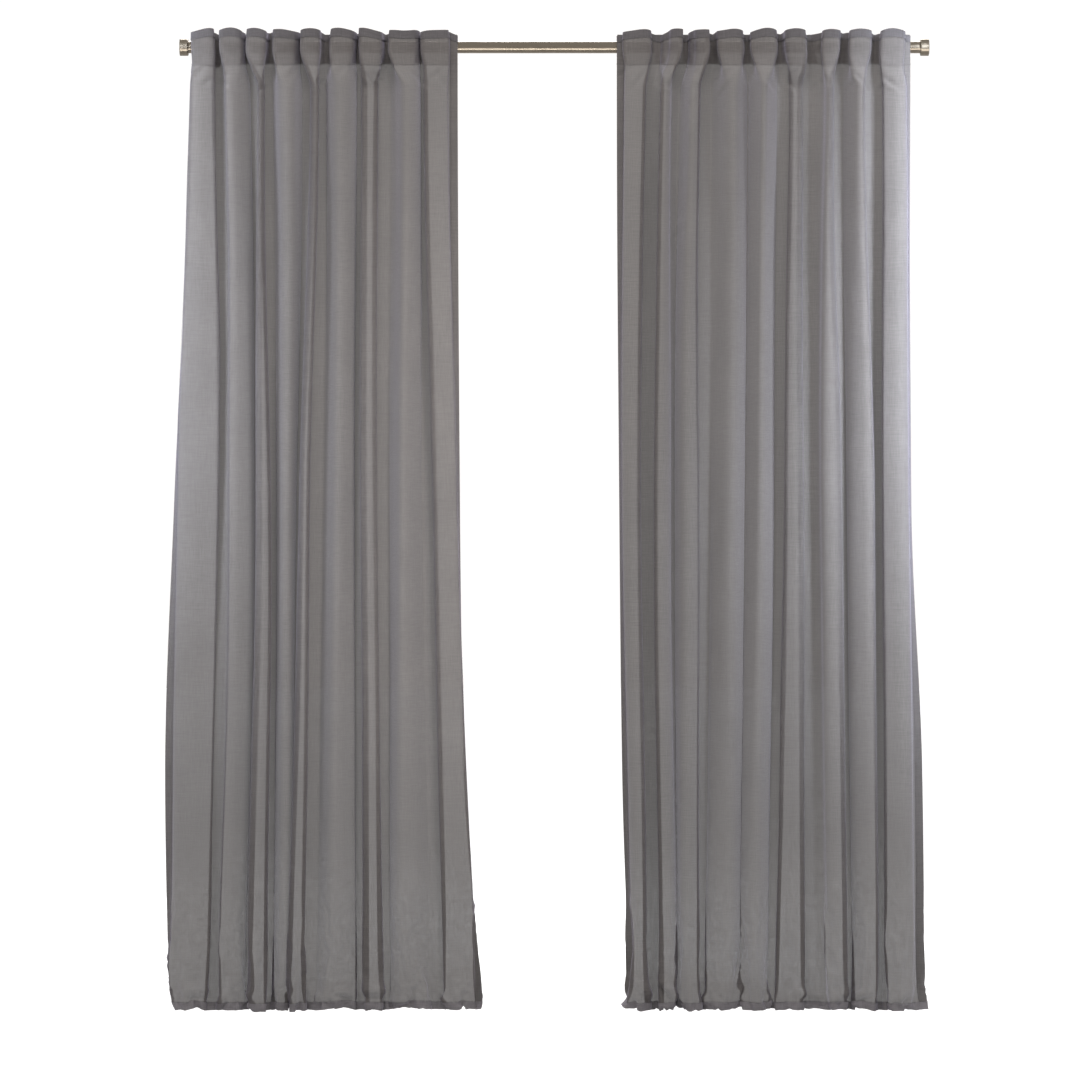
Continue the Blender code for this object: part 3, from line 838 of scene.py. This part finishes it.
def make_curtain(layout, cloth, facing, hem, band, painted_light_turn_up, thread):
    """The sheet of one curtain with its folded edges."""
    fine, uv, normal, down = settled_sheet(layout)
    rows, columns = fine.shape[:2]
    name = layout.name
    flip = layout.side > 0
    sheet = sheet_object(name + "_curtain", fine, uv, cloth, flip)
    heading_row = int(np.searchsorted(down, HEADING)) + 1
    band_row = int(np.searchsorted(down, TOP_BAND)) + 1
    hem_row = int(np.searchsorted(down, down[-1] - BOTTOM_HEM))
    side = max(2, int(round(SIDE_HEM / FLAT_WIDTH * (columns - 1))) + 1)
    every = slice(None)
    # each layer's rows, columns, distance behind the sheet, and cloth
    layers = {
        "heading_facing": (slice(0, heading_row), every, LAYER_GAP, facing),
        "top_band": (slice(0, band_row), every, -LAYER_GAP, band),
        "outer_hem": (every, slice(0, side), LAYER_GAP, hem),
        "leading_hem": (every, slice(columns - side, columns), LAYER_GAP, hem),
        # the bottom hem's turn-up takes the voile coloured with painted light and painted purple sheen
        "bottom_hem": (slice(hem_row, rows), every, -LAYER_GAP, painted_light_turn_up),
    }
    pieces = []
    for label, (row_range, column_range, offset, material) in layers.items():
        part = fine[row_range, column_range] - normal[row_range, column_range] * offset
        part_uv = uv[row_range, column_range] + SEAM_SHIFT
        pieces.append(sheet_object(f"{name}_{label}", part, part_uv, material, flip))
    front = fine + normal * (LAYER_GAP + 0.0003)
    lines = [front[band_row - 1], front[heading_row - 1], front[hem_row]]
    lines += [front[:, side - 1], front[:, columns - side]]
    tree, inputs = stitch_tree()
    pieces.append(make_stitches(name + "_stitches", lines, tree, inputs, thread))
    for item in [sheet, *pieces]:
        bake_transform(item)
    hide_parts(name + "_side_hem", *[f"{name}_fold_{k}" for k in range(1, TAB_COUNT)])
    return sheet


# ---- tabs ----


def tab_middle_line():
    """The tab's line as (y, z) points: down from the upper seam, over the rod, down behind it and
    forward to the lower seam."""
    inset = 0.0005
    radius = TAB_HIGH.y - ROD_Y - inset
    front = TAB_LOW.y + inset
    upper = Vector((front - ROD_Y, TAB_UPPER_SEAM))
    lower = Vector((front - ROD_Y, TAB_LOWER_SEAM))
    start = math.atan2(upper.y, upper.x) - math.acos(radius / upper.length)
    end = math.atan2(lower.y, lower.x) + math.acos(radius / lower.length)
    path = [(front, TAB_HIGH.z), (front, ROD_Z + upper.y)]
    steps = 18
    for i in range(steps + 1):
        angle = start + (end - start) * i / steps
        path.append((ROD_Y + radius * math.cos(angle), ROD_Z + radius * math.sin(angle)))
    path += [(front, ROD_Z + lower.y), (front, TAB_LOW.z)]
    return resampled(np.array(path), 60)


def make_tab(name, body, material, seed):
    """One doubled strip of voile looped over the rod, with soft sides and a slight slack."""
    line = tab_middle_line()
    x = middle_x(name)
    random = np.random.default_rng(seed)
    across = np.linspace(-1, 1, 13)
    grid = np.zeros((len(line), len(across), 3))
    phase = random.uniform(0, math.tau)
    for i, (y, z) in enumerate(line):
        share = i / (len(line) - 1)
        slack = math.sin(math.pi * smooth(share)) ** 2
        pull = 1 - 0.10 * slack
        outward = Vector((y - ROD_Y, z - ROD_Z)).normalized()
        for j, side in enumerate(across):
            ripple = abs(0.0006 * slack * math.sin(3.2 * side + 7 * share + phase) * (share > 0.5))
            grid[i, j] = (x + side * TAB_WIDTH / 2 * pull, y + outward.x * ripple, z + outward.y * ripple)
    uv = np.zeros((*grid.shape[:2], 2))
    uv[:, :, 0] = across[None, :] * TAB_WIDTH / 2 + seed * 0.037
    uv[:, :, 1] = np.linspace(0, length_of(line), len(line))[:, None]
    tab = sheet_object(name + "_cloth", grid, uv, material)
    solid = tab.modifiers.new("thickness", "SOLIDIFY")
    solid.thickness = TAB_THICKNESS
    solid.offset = 0
    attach(tab, body)
    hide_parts(name)
    return tab


def make_tabs(name, material, seed):
    """All the tabs of one curtain, each on the body that slides with it."""
    for k in range(TAB_COUNT):
        body = "rod" if k == 0 else (name + "_lead" if k == FOLDS else f"{name}_glide_{k}")
        make_tab(f"{name}_tab_{k}", body, material, seed + k)


# ---- metal ----


def dress_metal(rod, bracket, steel):
    """Gives the CAD metal its finishes."""
    for name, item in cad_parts.items():
        if name == "rod_tube" or name.endswith("end_cap"):
            material = rod
        elif name.endswith("wall_screw") or name.endswith("cap_screw"):
            material = steel
        elif "bracket" in name:
            material = bracket
        else:
            continue
        item.data.materials.clear()
        item.data.materials.append(material)


# ---- studio ----


def make_floor():
    """A plain pale floor under the hems."""
    material = bpy.data.materials.new("pale_paper")
    material.use_nodes = True
    tree = material.node_tree
    shader = tree.nodes["Principled BSDF"]
    shader.inputs["Base Color"].default_value = (0.62, 0.62, 0.62, 1)
    shader.inputs["Roughness"].default_value = 0.9
    shader.inputs["Specular IOR Level"].default_value = 0.0
    shader.inputs["Emission Color"].default_value = (1, 1, 1, 1)
    path = node(tree, "ShaderNodeLightPath")
    glow = node(tree, "ShaderNodeMapRange")
    glow.inputs["To Min"].default_value = 0.0
    glow.inputs["To Max"].default_value = 0.75
    tree.links.new(path.outputs["Is Camera Ray"], glow.inputs["Value"])
    tree.links.new(glow.outputs[0], shader.inputs["Emission Strength"])
    half, z = FLOOR_HALF, FLOOR_Z - FLOOR_DROP
    corners = [(-half, -half, z), (half, -half, z), (half, half, z), (-half, half, z)]
    mesh_object("paper_floor", corners, [(0, 1, 2, 3)], material)


def area_lamp(name, place, target, size, power, color, spread):
    """A soft oblong lamp that looks at a point."""
    data = bpy.data.lights.new(name, "AREA")
    data.shape = "RECTANGLE"
    data.size, data.size_y = size
    data.energy = power
    data.color = color
    data.spread = math.radians(spread)
    lamp = bpy.data.objects.new(name, data)
    bpy.context.scene.collection.objects.link(lamp)
    lamp.location = place
    lamp.rotation_euler = (Vector(target) - Vector(place)).to_track_quat("-Z", "Y").to_euler()
    return lamp


def make_studio():
    """Even white surroundings, soft lamps round the curtains, and one that only glints on the rod."""
    world = bpy.data.worlds.new("studio")
    bpy.context.scene.world = world
    world.use_nodes = True
    tree = world.node_tree
    ground = tree.nodes["Background"]
    ground.inputs["Color"].default_value = (1, 0.985, 0.97, 1)
    path = node(tree, "ShaderNodeLightPath")
    level = node(tree, "ShaderNodeMapRange")
    level.inputs["To Min"].default_value = 0.62
    level.inputs["To Max"].default_value = 1.05
    tree.links.new(path.outputs["Is Camera Ray"], level.inputs["Value"])
    tree.links.new(level.outputs[0], ground.inputs["Strength"])
    cool, warm = (0.80, 0.88, 1.0), (1, 0.98, 0.96)
    area_lamp("left_soft_light", (-1.2, -0.85, -0.3), (-0.97, -0.1, -0.6), (0.3, 1.3), 6.2, cool, 70)
    area_lamp("right_soft_light", (1.2, -0.85, -0.3), (0.97, -0.1, -0.6), (0.3, 1.3), 13.5, cool, 70)
    area_lamp("middle_soft_light", (0.1, -0.9, -0.9), (-0.2, -0.1, -1.0), (0.3, 1.3), 1.3, warm, 60)
    front = area_lamp("front_soft_light", (0.0, -2.4, 1.3), (0.0, -0.1, 0.1), (2.4, 0.6), 22, warm, 110)
    front.visible_glossy = False
    rod_middle = (0.0, ROD_Y, ROD_Z)
    glint = area_lamp("rod_glint_light", (0.0, -1.78, -1.42), rod_middle, (2.6, 0.22), 34, warm, 180)
    glint.visible_diffuse = False
    area_lamp("back_soft_light", (0.0, 3.0, 1.9), (0.0, -0.1, -0.9), (3.0, 0.8), 110, warm, 180)
    bpy.context.scene.view_settings.view_transform = "Standard"


def make_camera():
    """Straight on, at half the height of the curtains."""
    data = bpy.data.cameras.new("camera")
    data.lens = CAMERA_LENS
    camera = bpy.data.objects.new("camera", data)
    bpy.context.scene.collection.objects.link(camera)
    camera.location = (CAMERA_X, ROD_Y - CAMERA_DISTANCE, CAMERA_Z)
    camera.rotation_euler = (math.pi / 2, 0, 0)
    bpy.context.scene.camera = camera


def main():
    make_camera()
    make_studio()
    make_floor()
    weave = slub_weave_group()
    drawn = brushed_metal_group()
    thin, thick = (0.113, 0.103, 0.099), (0.150, 0.138, 0.133)
    band = voile("grey_voile_band", weave, (0.096, 0.089, 0.092), (0.128, 0.119, 0.123), 0.90)
    cloth = voile("grey_voile", weave, thin, thick, 0.925)
    facing = voile("grey_voile_facing", weave, thin, thick, 0.62)
    hem = voile("grey_voile_hem", weave, thin, thick, 0.85)
    # the hem's turn-up is the sheet's voile coloured about 1.7 times lighter and a little purple: painted
    # light and painted sheen
    painted_light_turn_up = voile("grey_voile_turn_up_painted_light", weave, (0.196, 0.182, 0.190), (0.260, 0.242, 0.253), 0.90)
    thread = spun_thread("grey_thread", (0.10, 0.092, 0.094))
    tabs = voile("grey_voile_tab", weave, (0.095, 0.088, 0.085), (0.135, 0.127, 0.125), 0.96, 0.4)
    looks = (cloth, facing, hem, band, painted_light_turn_up, thread)
    make_curtain(Layout("left", -1, LEFT_FOLDS, LEFT_EDGES, 11), *looks)
    make_curtain(Layout("right", 1, RIGHT_FOLDS, RIGHT_EDGES, 29), *looks)
    make_tabs("left", tabs, 100)
    make_tabs("right", tabs, 200)
    dress_metal(
        satin_metal("champagne_bronze", drawn, (0.24, 0.205, 0.16), (0.29, 0.25, 0.20), 0.27),
        satin_metal("bracket_bronze", drawn, (0.20, 0.17, 0.135), (0.25, 0.215, 0.17), 0.36, 1.0),
        satin_metal("zinc_plate", drawn, (0.55, 0.55, 0.54), (0.72, 0.72, 0.70), 0.32, 1.0),
    )


main()
